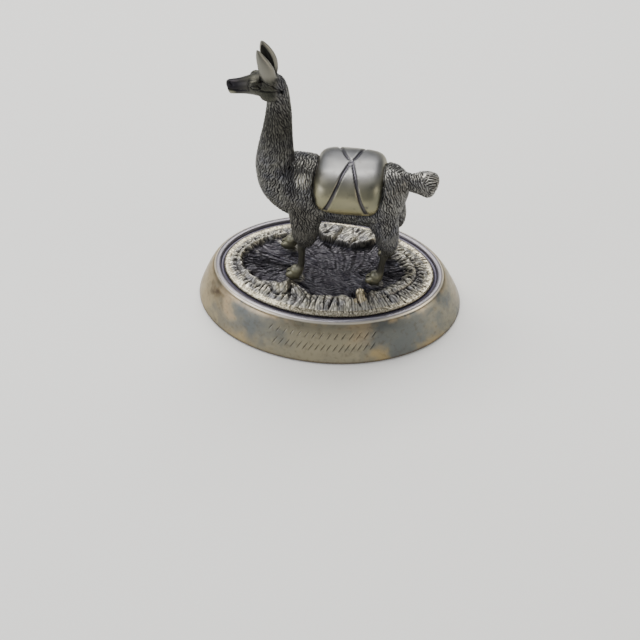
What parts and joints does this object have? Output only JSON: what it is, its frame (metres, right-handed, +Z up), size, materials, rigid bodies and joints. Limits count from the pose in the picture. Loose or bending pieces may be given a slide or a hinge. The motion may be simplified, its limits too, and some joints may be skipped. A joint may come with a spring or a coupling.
{
  "type": "llama figure on an oval plinth",
  "caption": "Small cast silver llama with a strapped pack, standing on rocky grass set into a polished oval plinth.",
  "frame": {"origin": "middle of the plinth's flat underside", "axes": "+Z up, +X from the llama's head towards its tail, along the oval's long axis, +Y across the oval to the llama's right"},
  "size_m": [0.0546, 0.0374, 0.0674],
  "materials": {
    "oxidised_silver": "oxidised dark olive-grey, crests worn lighter",
    "blackened_silver": "blackened hollows under worn pale crests",
    "polished_silver": "satin with a polished bead and golden-brown tarnish"
  },
  "bodies": {
    "root": {"llama": "oxidised_silver", "ground": "blackened_silver", "plinth": "polished_silver"}
  },
  "joints": []
}
